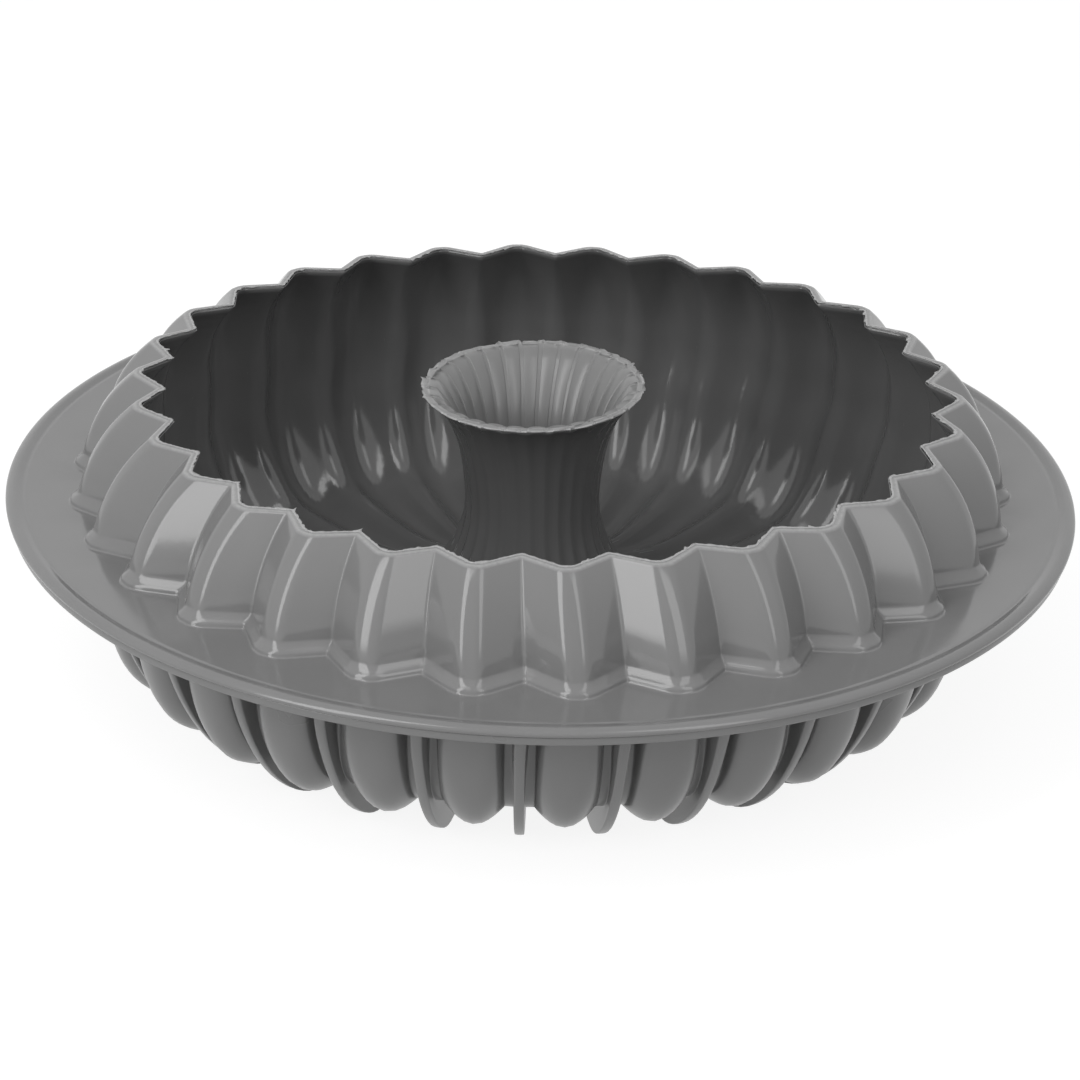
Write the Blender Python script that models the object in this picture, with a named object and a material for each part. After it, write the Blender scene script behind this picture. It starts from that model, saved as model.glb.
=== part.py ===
"""Fluted silicone bundt mould with a flat flange, finned feet and a centre tube.

The mould stands on its fins at z = 0, with the axis of the tube along +Z and one fin on -Y.
Every wall is a loop of rings round that axis. A ring holds one point for each edge of each
flute, so neighbouring walls share their edges and keep an even gap. Sizes are in metres.
"""

import math

import bmesh
import bpy

# Overall sizes
FLUTES = 30
MOULD_HEIGHT = 0.085
FLANGE_RADIUS = 0.147
PARTING_HEIGHT = 0.0556
FITTING_GAP = 0.0003

# Fluted collar above the flange, outer face
RIM_RADIUS = 0.1135
RIM_FLUTE_DEPTH = 0.0067
COLLAR_FOOT_RADIUS = 0.1280
COLLAR_FOOT_DEPTH = 0.0087
COLLAR_BULGE = 0.0015
COLLAR_SHOULDER_DROP = 0.0105
RIM_WALL = 0.0017
FOOT_WALL_AT_RIDGE = 0.0050
FOOT_WALL_AT_CREASE = 0.0026
RIDGE_ANGLE_SHARE = 0.19

# Flange, its rounded edge and the step at the foot of the collar
UPPER_SHEET = 0.00145
LOWER_SHEET = 0.0012
FOOT_STEP_WIDTH = 0.0024
FOOT_STEP_WIDTH_AT_CREASE = 0.0012
FOOT_STEP_HEIGHT = 0.0016
EDGE_WIDTH = 0.0046
EDGE_CROWN = 0.0002
EDGE_DROP = 0.0009
LIP_INSET = 0.0005
LIP_DEPTH = 0.0027
LIP_WIDTH = 0.0050

# Steel wire ring inside the edge of the flange
WIRE_DIAMETER = 0.0016
WIRE_INSET = 0.0030
WIRE_SIDES = 6
GROOVE_FLOOR_SHARE = 0.6

# Trough of the cavity, from the parting height down and in to the tube
TROUGH_FLOOR_RADIUS = 0.0965
TROUGH_FLOOR_HEIGHT = 0.0096
TROUGH_FULLNESS = 0.70
TROUGH_FLOOR_FLUTE_DEPTH = 0.0048
INNER_SLOPE_REACH = 0.0240
INNER_SLOPE_DROP = 0.0046
GREY_WALL = 0.0012
LINING_WALL = 0.0005

# Centre tube, cavity face of the grey wall
WAIST_RADIUS = 0.0174
WAIST_HEIGHT = 0.0480
TUBE_TOP_RADIUS = 0.0288
TUBE_FLARE_HEIGHT = 0.0090
TUBE_FLUTE_DEPTH = 0.0010

# Fins in the creases of the belly, which are the feet
FIN_THICKNESS = 0.0030
FIN_ROOT_FLARE = 0.0002
FIN_TOP_RADIUS = 0.1265
FIN_FULLNESS = 1.17
FOOT_OUTER_RADIUS = 0.0912
FOOT_INNER_RADIUS = 0.0862
CREASE_FLOOR_SHARE = 0.17
LOBE_SIDE_SHARE = 0.29
LOBE_SIDE_RISE = 0.68

# Where the rings lie along each stretch of the profile
COLLAR_STEPS = (0.0, 0.35, 0.70, 1.0)
TROUGH_ANGLES = (20.0, 38.0, 54.0, 67.0, 79.0, 90.0)
FIN_ANGLES = (22.0, 42.0, 60.0, 75.0, 90.0)
SLOPE_STEPS = (0.40, 0.75, 1.0)
TUBE_STEPS = (0.45, 0.75, 1.0)

PITCH = 2.0 * math.pi / FLUTES
FRONT = -math.pi / 2.0
SMOOTH_ANGLE = math.radians(24.0)

# The edges met on the way round one flute, from one side of a fin to the next fin.
# Each is a name, the turn from this fin as a share of the pitch, and a side of its fin.
COLUMNS = (
    ("fin", 0.0, -1),
    ("fin", 0.0, 1),
    ("root", 0.0, 1),
    ("floor", CREASE_FLOOR_SHARE, 0),
    ("side", LOBE_SIDE_SHARE, 0),
    ("ridge", 0.5 - RIDGE_ANGLE_SHARE / 2.0, 0),
    ("ridge", 0.5 + RIDGE_ANGLE_SHARE / 2.0, 0),
    ("side", 1.0 - LOBE_SIDE_SHARE, 0),
    ("floor", 1.0 - CREASE_FLOOR_SHARE, 0),
    ("root", 1.0, -1),
)


def clear_scene():
    """Remove whatever the file holds before the mould is made."""
    for item in list(bpy.data.objects):
        bpy.data.objects.remove(item, do_unlink=True)


def bezier(start, control, end, step):
    """A point on the curve that leaves start and reaches end, both aimed at control."""
    first = (1.0 - step) ** 2
    second = 2.0 * step * (1.0 - step)
    third = step ** 2
    return tuple(first * a + second * b + third * c for a, b, c in zip(start, control, end))


def rounded_quarter(centre, half_width, half_height, fullness, degrees):
    """A point on a quarter of a full ellipse, from its outer side down to its floor."""
    angle = math.radians(degrees)
    across = max(math.cos(angle), 0.0) ** fullness
    down = math.sin(angle) ** fullness
    return centre[0] + half_width * across, centre[1] - half_height * down


def cavity_normal(before, after):
    """The unit normal that points into the cavity, for a profile that runs from rim to tube."""
    along_r = after[0] - before[0]
    along_z = after[1] - before[1]
    length = math.hypot(along_r, along_z)
    return along_z / length, -along_r / length


def offset_line(line, distance):
    """Shift a profile towards the cavity, its cut ends staying at their own height."""
    shifted = []
    last = len(line) - 1
    for index, (radius, height) in enumerate(line):
        normal = cavity_normal(line[max(index - 1, 0)], line[min(index + 1, last)])
        if index in (0, last):
            shifted.append((radius + distance / normal[0], height))
        else:
            shifted.append((radius + distance * normal[0], height + distance * normal[1]))
    return shifted


def collar_outer(step):
    """The ridge and crease points of the collar's outer face, step 0 at the rim."""
    shoulder = MOULD_HEIGHT - COLLAR_SHOULDER_DROP
    ridge = bezier(
        (RIM_RADIUS, MOULD_HEIGHT),
        (COLLAR_FOOT_RADIUS - COLLAR_BULGE, shoulder),
        (COLLAR_FOOT_RADIUS, PARTING_HEIGHT),
        step,
    )
    depth = RIM_FLUTE_DEPTH + (COLLAR_FOOT_DEPTH - RIM_FLUTE_DEPTH) * step
    return ridge, (ridge[0] - depth, ridge[1])


def collar_inner(step):
    """The ridge and crease points of the grey wall's cavity face, thicker at the foot."""
    ridge, crease = collar_outer(step)
    at_ridge = RIM_WALL + (FOOT_WALL_AT_RIDGE - RIM_WALL) * step ** 2
    at_crease = RIM_WALL + (FOOT_WALL_AT_CREASE - RIM_WALL) * step ** 2
    return (ridge[0] - at_ridge, ridge[1]), (crease[0] - at_crease, crease[1])


def cavity_lines():
    """Ridge and crease profiles of the grey wall's cavity face, from rim to tube top."""
    ridges = []
    creases = []
    for step in COLLAR_STEPS:
        ridge, crease = collar_inner(step)
        ridges.append(ridge)
        creases.append(crease)

    parting_radius = ridges[-1][0]
    parting_depth = ridges[-1][0] - creases[-1][0]
    centre = (TROUGH_FLOOR_RADIUS, PARTING_HEIGHT)
    half_width = parting_radius - TROUGH_FLOOR_RADIUS
    half_height = PARTING_HEIGHT - TROUGH_FLOOR_HEIGHT
    floor = (TROUGH_FLOOR_RADIUS, TROUGH_FLOOR_HEIGHT)
    waist = (WAIST_RADIUS, WAIST_HEIGHT)
    top = (TUBE_TOP_RADIUS, MOULD_HEIGHT)
    slope_control = (INNER_SLOPE_REACH, TROUGH_FLOOR_HEIGHT - INNER_SLOPE_DROP)
    tube_control = (WAIST_RADIUS, MOULD_HEIGHT - TUBE_FLARE_HEIGHT)

    stretch = [rounded_quarter(centre, half_width, half_height, TROUGH_FULLNESS, angle)
               for angle in TROUGH_ANGLES]
    stretch += [bezier(floor, slope_control, waist, step) for step in SLOPE_STEPS]
    stretch += [bezier(waist, tube_control, top, step) for step in TUBE_STEPS]

    depths = []
    for angle in TROUGH_ANGLES:
        share = angle / 90.0
        depths.append(parting_depth + (TROUGH_FLOOR_FLUTE_DEPTH - parting_depth) * share)
    for step in SLOPE_STEPS:
        depths.append(TROUGH_FLOOR_FLUTE_DEPTH + (TUBE_FLUTE_DEPTH - TROUGH_FLOOR_FLUTE_DEPTH) * step)
    depths += [TUBE_FLUTE_DEPTH for step in TUBE_STEPS]

    path = [ridges[-1]] + stretch
    waist_index = len(TROUGH_ANGLES) + len(SLOPE_STEPS)
    for index in range(1, len(path)):
        radius, height = path[index]
        depth = depths[index - 1]
        if index >= waist_index:
            normal = (1.0, 0.0)
        else:
            normal = cavity_normal(path[index - 1], path[index + 1])
        ridges.append((radius, height))
        creases.append((radius + depth * normal[0], height + depth * normal[1]))
    return ridges, creases


def round_ring(radius, height):
    """A circular ring."""
    return {"kind": "plain", "ridge": (radius, height), "crease": (radius, height), "rank": 0}


def fluted_ring(ridge, crease, rank=0):
    """A ring that goes out to a narrow ridge and in to a sharp crease on every flute."""
    return {"kind": "fluted", "ridge": ridge, "crease": crease, "rank": rank}


def finned_ring(ridge, crease, fin, rank=0):
    """A ring of round lobes, with a fin standing in the floor of every crease."""
    return {"kind": "finned", "ridge": ridge, "crease": crease, "fin": fin, "rank": rank}


def cavity_ring(ridge, crease, rank):
    """A ring that follows the cavity: sharp creases, broad ones in the trough, plain on the tube."""
    parting = len(COLLAR_STEPS) - 1
    trough_floor = parting + len(TROUGH_ANGLES)
    waist = trough_floor + len(SLOPE_STEPS)
    kind = "fluted"
    if parting <= rank <= trough_floor:
        kind = "broad"
    elif rank >= waist:
        kind = "plain"
    return {"kind": kind, "ridge": ridge, "crease": crease, "rank": rank}


def crease_side(share, side):
    """Tell which side of the nearest crease a column lies on, -1 before it and 1 after it."""
    if side:
        return side
    return 1 if share < 0.5 else -1


def column_key(kind, column, flute):
    """Name the vertex that a ring of this kind has at a column, shared where edges meet."""
    name, share, side = COLUMNS[column]
    crease_flute = (flute + (1 if share > 0.5 else 0)) % FLUTES
    if kind == "finned":
        return flute, column
    if name == "ridge":
        return (flute, "ridge") if kind == "plain" else (flute, column)
    if kind == "broad":
        return crease_flute, crease_side(share, side)
    return crease_flute, "crease"


def column_place(ring, column, flute):
    """The position of a ring's vertex at a column."""
    name, share, side = COLUMNS[column]
    sideways = 0.0
    if ring["kind"] == "finned":
        radius, height = ring["crease"]
        if name == "fin":
            radius, height = ring["fin"]
            sideways = side * FIN_THICKNESS / 2.0
        elif name == "root":
            sideways = side * (FIN_THICKNESS / 2.0 + FIN_ROOT_FLARE)
        elif name == "side":
            radius += LOBE_SIDE_RISE * (ring["ridge"][0] - ring["crease"][0])
            height += LOBE_SIDE_RISE * (ring["ridge"][1] - ring["crease"][1])
        elif name == "ridge":
            radius, height = ring["ridge"]
    elif name == "ridge":
        radius, height = ring["ridge"]
        if ring["kind"] == "plain":
            share = 0.5
    else:
        radius, height = ring["crease"]
        spread = CREASE_FLOOR_SHARE if ring["kind"] == "broad" else 0.0
        share = round(share) + spread * crease_side(share, side)
    azimuth = FRONT + PITCH * (flute + share)
    return (
        radius * math.cos(azimuth) - sideways * math.sin(azimuth),
        radius * math.sin(azimuth) + sideways * math.cos(azimuth),
        height,
    )


def add_triangle(mesh, corners):
    """Add one triangle, unless two of its corners are the same vertex."""
    if len({corner.index for corner in corners}) == len(corners):
        mesh.faces.new(corners)


def ring_solid(name, rings, material):
    """Make one closed solid from a loop of rings, its last ring joined to its first."""
    mesh = bmesh.new()
    tables = []
    for ring in rings:
        table = {}
        for flute in range(FLUTES):
            for column in range(len(COLUMNS)):
                key = column_key(ring["kind"], column, flute)
                if key not in table:
                    table[key] = mesh.verts.new(column_place(ring, column, flute))
        tables.append(table)
    mesh.verts.index_update()

    places = [(flute, column) for flute in range(FLUTES) for column in range(len(COLUMNS))]
    for index, ring in enumerate(rings):
        after = (index + 1) % len(rings)
        downhill = rings[after]["rank"] >= ring["rank"]
        for here, (flute, column) in enumerate(places):
            next_flute, next_column = places[(here + 1) % len(places)]
            near = tables[index][column_key(ring["kind"], column, flute)]
            near_next = tables[index][column_key(ring["kind"], next_column, next_flute)]
            far = tables[after][column_key(rings[after]["kind"], column, flute)]
            far_next = tables[after][column_key(rings[after]["kind"], next_column, next_flute)]
            if downhill:
                add_triangle(mesh, (near, near_next, far_next))
                add_triangle(mesh, (near, far_next, far))
            else:
                add_triangle(mesh, (near, near_next, far))
                add_triangle(mesh, (near_next, far_next, far))
    return finish_object(name, mesh, material)


def finish_object(name, mesh, material):
    """Turn a bmesh into a named object with its material and smooth rounds."""
    bmesh.ops.recalc_face_normals(mesh, faces=mesh.faces)
    data = bpy.data.meshes.new(name)
    mesh.to_mesh(data)
    mesh.free()
    data.materials.append(material)
    data.shade_smooth()
    data.set_sharp_from_angle(angle=SMOOTH_ANGLE)
    solid = bpy.data.objects.new(name, data)
    bpy.context.collection.objects.link(solid)
    return solid


def surface(name, color, roughness, metallic):
    """A plain Principled material."""
    material = bpy.data.materials.new(name)
    material.use_nodes = True
    shader = material.node_tree.nodes["Principled BSDF"]
    shader.inputs["Base Color"].default_value = (*color, 1.0)
    shader.inputs["Roughness"].default_value = roughness
    shader.inputs["Metallic"].default_value = metallic
    return material


def collar_shell(ridges, creases, material):
    """The upper half of the grey moulding: fluted collar, flange top and rounded edge."""
    under = PARTING_HEIGHT + FITTING_GAP / 2.0
    top = under + UPPER_SHEET
    wire_centre = FLANGE_RADIUS - WIRE_INSET
    wire_reach = WIRE_DIAMETER / 2.0 + FITTING_GAP
    groove_top = PARTING_HEIGHT + wire_reach - FITTING_GAP / 2.0
    edge_start = FLANGE_RADIUS - EDGE_WIDTH

    rings = [fluted_ring(*collar_outer(step), rank) for rank, step in enumerate(COLLAR_STEPS[:-1])]
    ridge_foot, crease_foot = collar_outer(1.0)
    step_top = top + FOOT_STEP_HEIGHT
    rings.append(fluted_ring((ridge_foot[0], step_top), (crease_foot[0], step_top), len(rings)))
    rings.append(fluted_ring(
        (ridge_foot[0] + FOOT_STEP_WIDTH, top),
        (crease_foot[0] + FOOT_STEP_WIDTH_AT_CREASE, top),
    ))
    rings.append(round_ring(edge_start, top))
    rings.append(round_ring(edge_start + EDGE_WIDTH / 2.0, top + EDGE_CROWN))
    rings.append(round_ring(FLANGE_RADIUS, top - EDGE_DROP))
    rings.append(round_ring(FLANGE_RADIUS, under))
    rings.append(round_ring(wire_centre + wire_reach, under))
    rings.append(round_ring(wire_centre + wire_reach * GROOVE_FLOOR_SHARE, groove_top))
    rings.append(round_ring(wire_centre - wire_reach * GROOVE_FLOOR_SHARE, groove_top))
    rings.append(round_ring(wire_centre - wire_reach, under))
    parting = len(COLLAR_STEPS) - 1
    rings.append(cavity_ring((ridges[parting][0], under), (creases[parting][0], under), parting))
    for rank in reversed(range(parting)):
        rings.append(cavity_ring(ridges[rank], creases[rank], rank))
    return ring_solid("collar_shell", rings, material)


def belly_shell(ridges, creases, material):
    """The lower half of the grey moulding: lobes, fins, flange underside and centre tube."""
    over = PARTING_HEIGHT - FITTING_GAP / 2.0
    underside = over - LOWER_SHEET
    wire_centre = FLANGE_RADIUS - WIRE_INSET
    wire_reach = WIRE_DIAMETER / 2.0 + FITTING_GAP
    groove_floor = PARTING_HEIGHT - wire_reach - FITTING_GAP / 2.0
    lip_radius = FLANGE_RADIUS - LIP_INSET
    parting = len(COLLAR_STEPS) - 1
    outer_ridges = offset_line(ridges, -GREY_WALL)
    outer_creases = offset_line(creases, -GREY_WALL)

    rings = [
        cavity_ring((ridges[parting][0], over), (creases[parting][0], over), parting),
        round_ring(wire_centre - wire_reach, over),
        round_ring(wire_centre - wire_reach * GROOVE_FLOOR_SHARE, groove_floor),
        round_ring(wire_centre + wire_reach * GROOVE_FLOOR_SHARE, groove_floor),
        round_ring(wire_centre + wire_reach, over),
        round_ring(lip_radius, over),
        round_ring(lip_radius, over - LIP_DEPTH),
        round_ring(lip_radius - LIP_WIDTH, over - LIP_DEPTH),
        round_ring(lip_radius - LIP_WIDTH, underside),
    ]
    rings.append(finned_ring(
        (ridges[parting][0] + GREY_WALL, underside),
        (creases[parting][0] + GREY_WALL, underside),
        (FIN_TOP_RADIUS, underside),
        parting,
    ))

    fins = [rounded_quarter((FOOT_OUTER_RADIUS, underside), FIN_TOP_RADIUS - FOOT_OUTER_RADIUS,
                            underside, FIN_FULLNESS, angle) for angle in FIN_ANGLES]
    fins.append((FOOT_INNER_RADIUS, 0.0))
    for index, fin in enumerate(fins):
        rank = parting + 1 + index
        rings.append(finned_ring(outer_ridges[rank], outer_creases[rank], fin, rank))

    last = len(ridges) - 1
    for rank in range(parting + 1 + len(fins), last + 1):
        rings.append(cavity_ring(outer_ridges[rank], outer_creases[rank], rank))
    for rank in range(last, parting, -1):
        rings.append(cavity_ring(ridges[rank], creases[rank], rank))
    return ring_solid("belly_shell", rings, material)


def cavity_lining(ridges, creases, material):
    """The dark skin of the cavity, from the rim down, across the trough and up the tube."""
    back = FITTING_GAP
    face = FITTING_GAP + LINING_WALL
    back_lines = zip(offset_line(ridges, back), offset_line(creases, back))
    face_lines = zip(offset_line(ridges, face), offset_line(creases, face))
    rings = [cavity_ring(*points, rank) for rank, points in enumerate(back_lines)]
    rings += reversed([cavity_ring(*points, rank) for rank, points in enumerate(face_lines)])
    return ring_solid("cavity_lining", rings, material)


def rim_wire(material):
    """The steel ring that keeps the flange flat, lying in the groove of its edge."""
    centre = FLANGE_RADIUS - WIRE_INSET
    rings = []
    for side in range(WIRE_SIDES):
        angle = 2.0 * math.pi * side / WIRE_SIDES
        rings.append(round_ring(
            centre + WIRE_DIAMETER / 2.0 * math.cos(angle),
            PARTING_HEIGHT + WIRE_DIAMETER / 2.0 * math.sin(angle),
        ))
    return ring_solid("rim_wire", rings, material)


def build_mould():
    """Make the four pieces of the mould."""
    clear_scene()
    grey_silicone = surface("grey_silicone", (0.20, 0.20, 0.20), 0.38, 0.0)
    dark_silicone = surface("dark_silicone", (0.035, 0.035, 0.035), 0.30, 0.0)
    steel_wire = surface("steel_wire", (0.55, 0.55, 0.56), 0.30, 1.0)
    ridges, creases = cavity_lines()
    collar_shell(ridges, creases, grey_silicone)
    belly_shell(ridges, creases, grey_silicone)
    cavity_lining(ridges, creases, dark_silicone)
    rim_wire(steel_wire)


build_mould()
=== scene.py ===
"""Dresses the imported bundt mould: grey silicone, its dark lining, a plain studio and the camera."""

import math

import bpy
import numpy as np
from mathutils import Matrix, Vector


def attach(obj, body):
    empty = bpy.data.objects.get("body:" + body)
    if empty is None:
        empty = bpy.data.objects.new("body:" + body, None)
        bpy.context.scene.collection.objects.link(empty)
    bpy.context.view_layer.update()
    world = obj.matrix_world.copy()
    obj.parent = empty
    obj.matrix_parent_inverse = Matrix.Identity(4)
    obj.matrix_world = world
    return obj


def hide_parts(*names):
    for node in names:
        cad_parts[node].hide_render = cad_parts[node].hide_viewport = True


bl_info = {
    "name": "Silicone Bundt Mould",
    "version": (1, 0, 0),
    "blender": (4, 5, 0),
    "location": "3D View > Sidebar > Bundt Mould",
    "description": "Builds the moulded skins, finishes and studio of a fluted silicone bundt mould",
    "category": "Add Mesh",
}

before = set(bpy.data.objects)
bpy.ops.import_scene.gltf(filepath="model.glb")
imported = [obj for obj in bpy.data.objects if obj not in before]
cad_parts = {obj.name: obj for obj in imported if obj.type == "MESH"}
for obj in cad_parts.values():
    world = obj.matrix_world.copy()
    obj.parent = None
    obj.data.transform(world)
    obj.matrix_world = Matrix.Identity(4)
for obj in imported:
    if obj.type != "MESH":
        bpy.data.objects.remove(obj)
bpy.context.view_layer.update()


# Values that a user would change

def length(name, description, default):
    """A size in metres."""
    return bpy.props.FloatProperty(name=name, description=description, default=default,
                                   precision=5, unit="LENGTH")


def share(name, description, default):
    """A plain number from 0 to 1."""
    return bpy.props.FloatProperty(name=name, description=description, default=default,
                                   min=0.0, max=1.0, subtype="FACTOR")


def power(name, description, default):
    """The power of a rounded quarter: 1 is an ellipse, less is squarer and more is hollower."""
    return bpy.props.FloatProperty(name=name, description=description, default=default,
                                   min=0.3, max=2.0)


def colour(name, description, default):
    """A colour as red, green and blue shares of light."""
    return bpy.props.FloatVectorProperty(name=name, description=description, default=default,
                                         size=3, min=0.0, max=1.0, subtype="COLOR")


class MouldSizes(bpy.types.PropertyGroup):
    """Sizes of the mould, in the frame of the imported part."""

    flutes: bpy.props.IntProperty(name="Flutes", description="Ridges round the collar",
                                  default=30, min=6)
    height: length("Height", "From the feet to the cut rim", 0.0846)
    parting: length("Parting height", "Where the two halves of the grey moulding meet", 0.0556)
    gap: length("Gap", "Space between pieces that touch", 0.0003)

    rim_radius: length("Rim radius", "Outer ridges at the cut rim", 0.1135)
    rim_depth: length("Rim flute depth", "From ridge to crease at the rim", 0.0067)
    foot_radius: length("Collar foot radius", "Outer ridges at the parting height", 0.1280)
    foot_depth: length("Collar foot flute depth", "From ridge to crease at the foot", 0.0087)
    collar_bulge: length("Collar bulge", "How far the shoulder's guide point lies inside the foot", 0.0015)
    shoulder_drop: length("Shoulder drop", "How far the shoulder's guide point lies below the rim", 0.0105)
    rim_wall: length("Rim wall", "Grey wall at the cut rim", 0.0018)
    foot_wall_ridge: length("Foot wall at a ridge", "Grey wall at the parting height, on a ridge", 0.0050)
    foot_wall_crease: length("Foot wall at a crease", "Grey wall at the parting height, in a crease", 0.0026)
    ridge_half: share("Ridge half width", "Half of the flat of a ridge, as a share of the pitch", 0.090)
    ridge_round: length("Ridge edge rounding", "How far the rounding runs from a ridge's edge", 0.0018)
    crease_round: length("Crease rounding", "How far the rounding runs from a crease", 0.0005)

    skirt_top: length("Skirt top", "Height above the flange where the collar starts to flare", 0.0035)
    skirt_edge: length("Skirt edge", "Height of the flare's edge above the flange", 0.0017)
    skirt_width: length("Skirt width", "How far the flare's edge stands out from the collar", 0.0018)

    flange_radius: length("Flange radius", "Outer edge of the flange", 0.1470)
    upper_sheet: length("Upper sheet", "Flange above the parting line", 0.00145)
    lower_sheet: length("Lower sheet", "Flange below the parting line", 0.0012)
    bead_width: length("Bead width", "Rounded edge of the flange", 0.0046)
    bead_rise: length("Bead rise", "Height of the rounded edge above the flange", 0.0005)
    lip_depth: length("Lip depth", "Height of the lower lip", 0.00225)
    lip_inset: length("Lip inset", "How far the lower lip lies inside the flange's edge", 0.0007)
    seam: length("Seam", "What shows of the gap between the two halves at the flange's edge", 0.0001)
    lip_width: length("Lip width", "Width of the lower lip", 0.0050)
    wire_diameter: length("Wire diameter", "Steel ring inside the flange's edge", 0.0016)
    wire_inset: length("Wire inset", "From the flange's edge to the wire's centre", 0.0030)

    trough_radius: length("Trough radius", "Lowest line of the cavity", 0.0965)
    trough_height: length("Trough height", "Height of that line above the feet", 0.0096)
    trough_fullness: power("Trough fullness", "Power of the trough's rounded quarter", 0.70)
    lining_fullness: power("Lining fullness", "The same power on the cavity's side, which is rounder", 1.0)
    trough_depth: length("Trough flute depth", "From ridge to crease on the trough's floor", 0.0048)
    slope_reach: length("Slope reach", "Radius of the inner slope's guide point", 0.0240)
    slope_drop: length("Slope drop", "How far that point lies below the floor", 0.0046)
    grey_wall: length("Grey wall", "Wall of the belly and the tube", 0.0012)
    lining_wall: length("Lining wall", "Dark skin of the cavity", 0.0005)

    waist_radius: length("Waist radius", "Narrowest part of the centre tube", 0.0174)
    waist_height: length("Waist height", "Height of that part", 0.0480)
    tube_radius: length("Tube top radius", "Cavity side of the tube at its cut top", 0.0303)
    tube_flare: length("Tube flare", "Height over which the tube's top flares", 0.0090)
    tube_depth: length("Tube flute depth", "From ridge to crease on the tube", 0.0004)
    tube_wall: length("Tube wall", "Grey wall at the tube's cut top", 0.0016)

    floor_share: share("Crease floor", "Half width of a belly crease's floor, as a share of the pitch", 0.17)
    fin_top: length("Fin thickness at the flange", "Thickness of a fin at its upper end", 0.0034)
    fin_foot: length("Fin thickness at the foot", "Thickness of a fin at its foot", 0.0024)
    fin_radius: length("Fin top radius", "Outer edge of the fins under the flange", 0.1265)
    fin_fullness: power("Fin fullness", "Power of the fin's rounded quarter", 1.17)
    foot_outer: length("Foot outer radius", "Where the fin's edge reaches the table", 0.0925)
    foot_inner: length("Foot inner radius", "Where the fin leaves the table", 0.0876)


class MouldColours(bpy.types.PropertyGroup):
    """Colours of the finishes."""

    grey: colour("Grey silicone", "Outside of the mould", (0.215, 0.215, 0.215))
    # The cut colour is the trimmed silicone's own paler tone. Where the cut rings lay it strongest, on the
    # edges of the cut faces, it is also a painted highlight.
    cut: colour("Cut edge", "Freshly trimmed edge of the grey silicone", (0.42, 0.42, 0.42))
    dark: colour("Dark silicone", "Lining of the cavity", (0.14, 0.14, 0.14))
    floor: colour("Floor", "Plain studio floor", (0.50, 0.50, 0.50))


# Curves and rings

def bezier(start, control, end, steps):
    """The curve (1-t)^2 start + 2t(1-t) control + t^2 end, at each t in steps."""
    t = np.asarray(steps, float)[:, None]
    return (1 - t) ** 2 * np.array(start) + 2 * t * (1 - t) * np.array(control) + t ** 2 * np.array(end)


def arc(centre, radius, first, last, count):
    """Points centre + radius (cos a, sin a), with a from first to last in degrees."""
    angle = np.radians(np.linspace(first, last, count))
    return np.stack([centre[0] + radius * np.cos(angle), centre[1] + radius * np.sin(angle)], axis=1)


def rounded_quarter(centre, half_width, half_height, fullness, degrees):
    """Outer side down to the floor: (r, z) = centre + (a cos^p, -b sin^p) of the angle."""
    angle = np.radians(degrees)
    across = np.clip(np.cos(angle), 0.0, None) ** fullness
    down = np.clip(np.sin(angle), 0.0, None) ** fullness
    return np.stack([centre[0] + half_width * across, centre[1] - half_height * down], axis=1)


def normals(line):
    """Unit normals of a profile, which face the cavity when it runs from the rim to the tube."""
    along = np.gradient(line, axis=0)
    along /= np.linalg.norm(along, axis=1, keepdims=True)
    return np.stack([along[:, 1], -along[:, 0]], axis=1)


def offset(line, distance):
    """Shift a profile by a distance along its normals."""
    return line + distance * normals(line)


def stations_through(stops, counts):
    """Stations from stop to stop, with a count of even steps for each stretch between two."""
    stretches = [np.linspace(a, b, n + 1)[1:] for a, b, n in zip(stops, stops[1:], counts)]
    return np.concatenate([[stops[0]]] + stretches)


def collar_face(sizes, heights):
    """Radii of the collar's outer ridges and creases at the given heights, and t there.

    The ridge follows one quadratic curve from the rim (t = 0) to the parting height (t = 1), and
    the crease lies inside it by a depth that grows evenly with t.
    """
    t = np.linspace(0.0, 1.0, 200)
    start = (sizes.rim_radius, sizes.height)
    control = (sizes.foot_radius - sizes.collar_bulge, sizes.height - sizes.shoulder_drop)
    ridge = bezier(start, control, (sizes.foot_radius, sizes.parting), t)
    depth = sizes.rim_depth + (sizes.foot_depth - sizes.rim_depth) * t
    down = -ridge[:, 1]
    ridges = np.interp(-heights, down, ridge[:, 0])
    creases = ridges - np.interp(-heights, down, depth)
    return ridges, creases, np.interp(-heights, down, t)


STRETCH_POINTS = 81
SMOOTHING_ROUNDS = 60
SECTION_STATIONS = (0.0, 0.5, 1.0, 1.3, 2.0, 2.6, 3.0, 4.0)
SECTIONS = {
    "floor_half": (0.012, 0.05, 0.095, 0.105, 0.105, 0.11, 0.13, 0.13),
    "ridge_half": (0.065, 0.09, 0.13, 0.15, 0.15, 0.14, 0.13, 0.13),
    "crease_round": (0.0011, 0.0014, 0.0014, 0.0013, 0.0012, 0.0010, 0.0010, 0.0010),
    "ridge_round": (0.0018, 0.0022, 0.0026, 0.0026, 0.0024, 0.0016, 0.0010, 0.0010),
    "bowl": (0.0, 0.6, 1.0, 1.0, 1.0, 1.0, 1.0, 1.0),
}


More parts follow.
